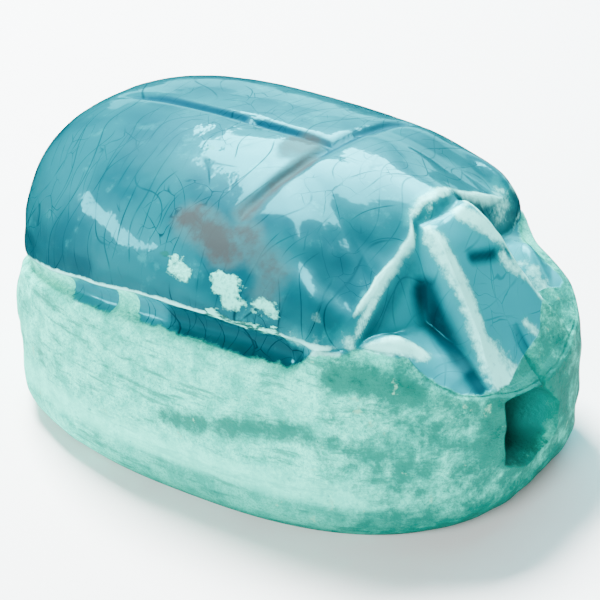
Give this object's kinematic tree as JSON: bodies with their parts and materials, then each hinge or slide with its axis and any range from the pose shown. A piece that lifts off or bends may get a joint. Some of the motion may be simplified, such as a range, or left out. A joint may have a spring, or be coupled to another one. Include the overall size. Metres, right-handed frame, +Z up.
{
  "type": "scarab amulet",
  "caption": "Small beetle-shaped amulet on an oval base, with a domed glazed back, a carved head, a leg groove round the sides and a bore from end to end for a cord.",
  "frame": {"origin": "the middle of the underside, on the ground plane", "axes": "+Z up out of the beetle's back, +Y towards the tail along the bore, so the head points along -Y and +X is the beetle's left side seen from above with the head towards the viewer"},
  "size_m": [0.0128, 0.0179, 0.0097],
  "materials": {
    "glaze": "crackled turquoise glaze over the back, matt mint green on the base"
  },
  "bodies": {
    "root": {"scarab": "glaze"}
  },
  "joints": []
}
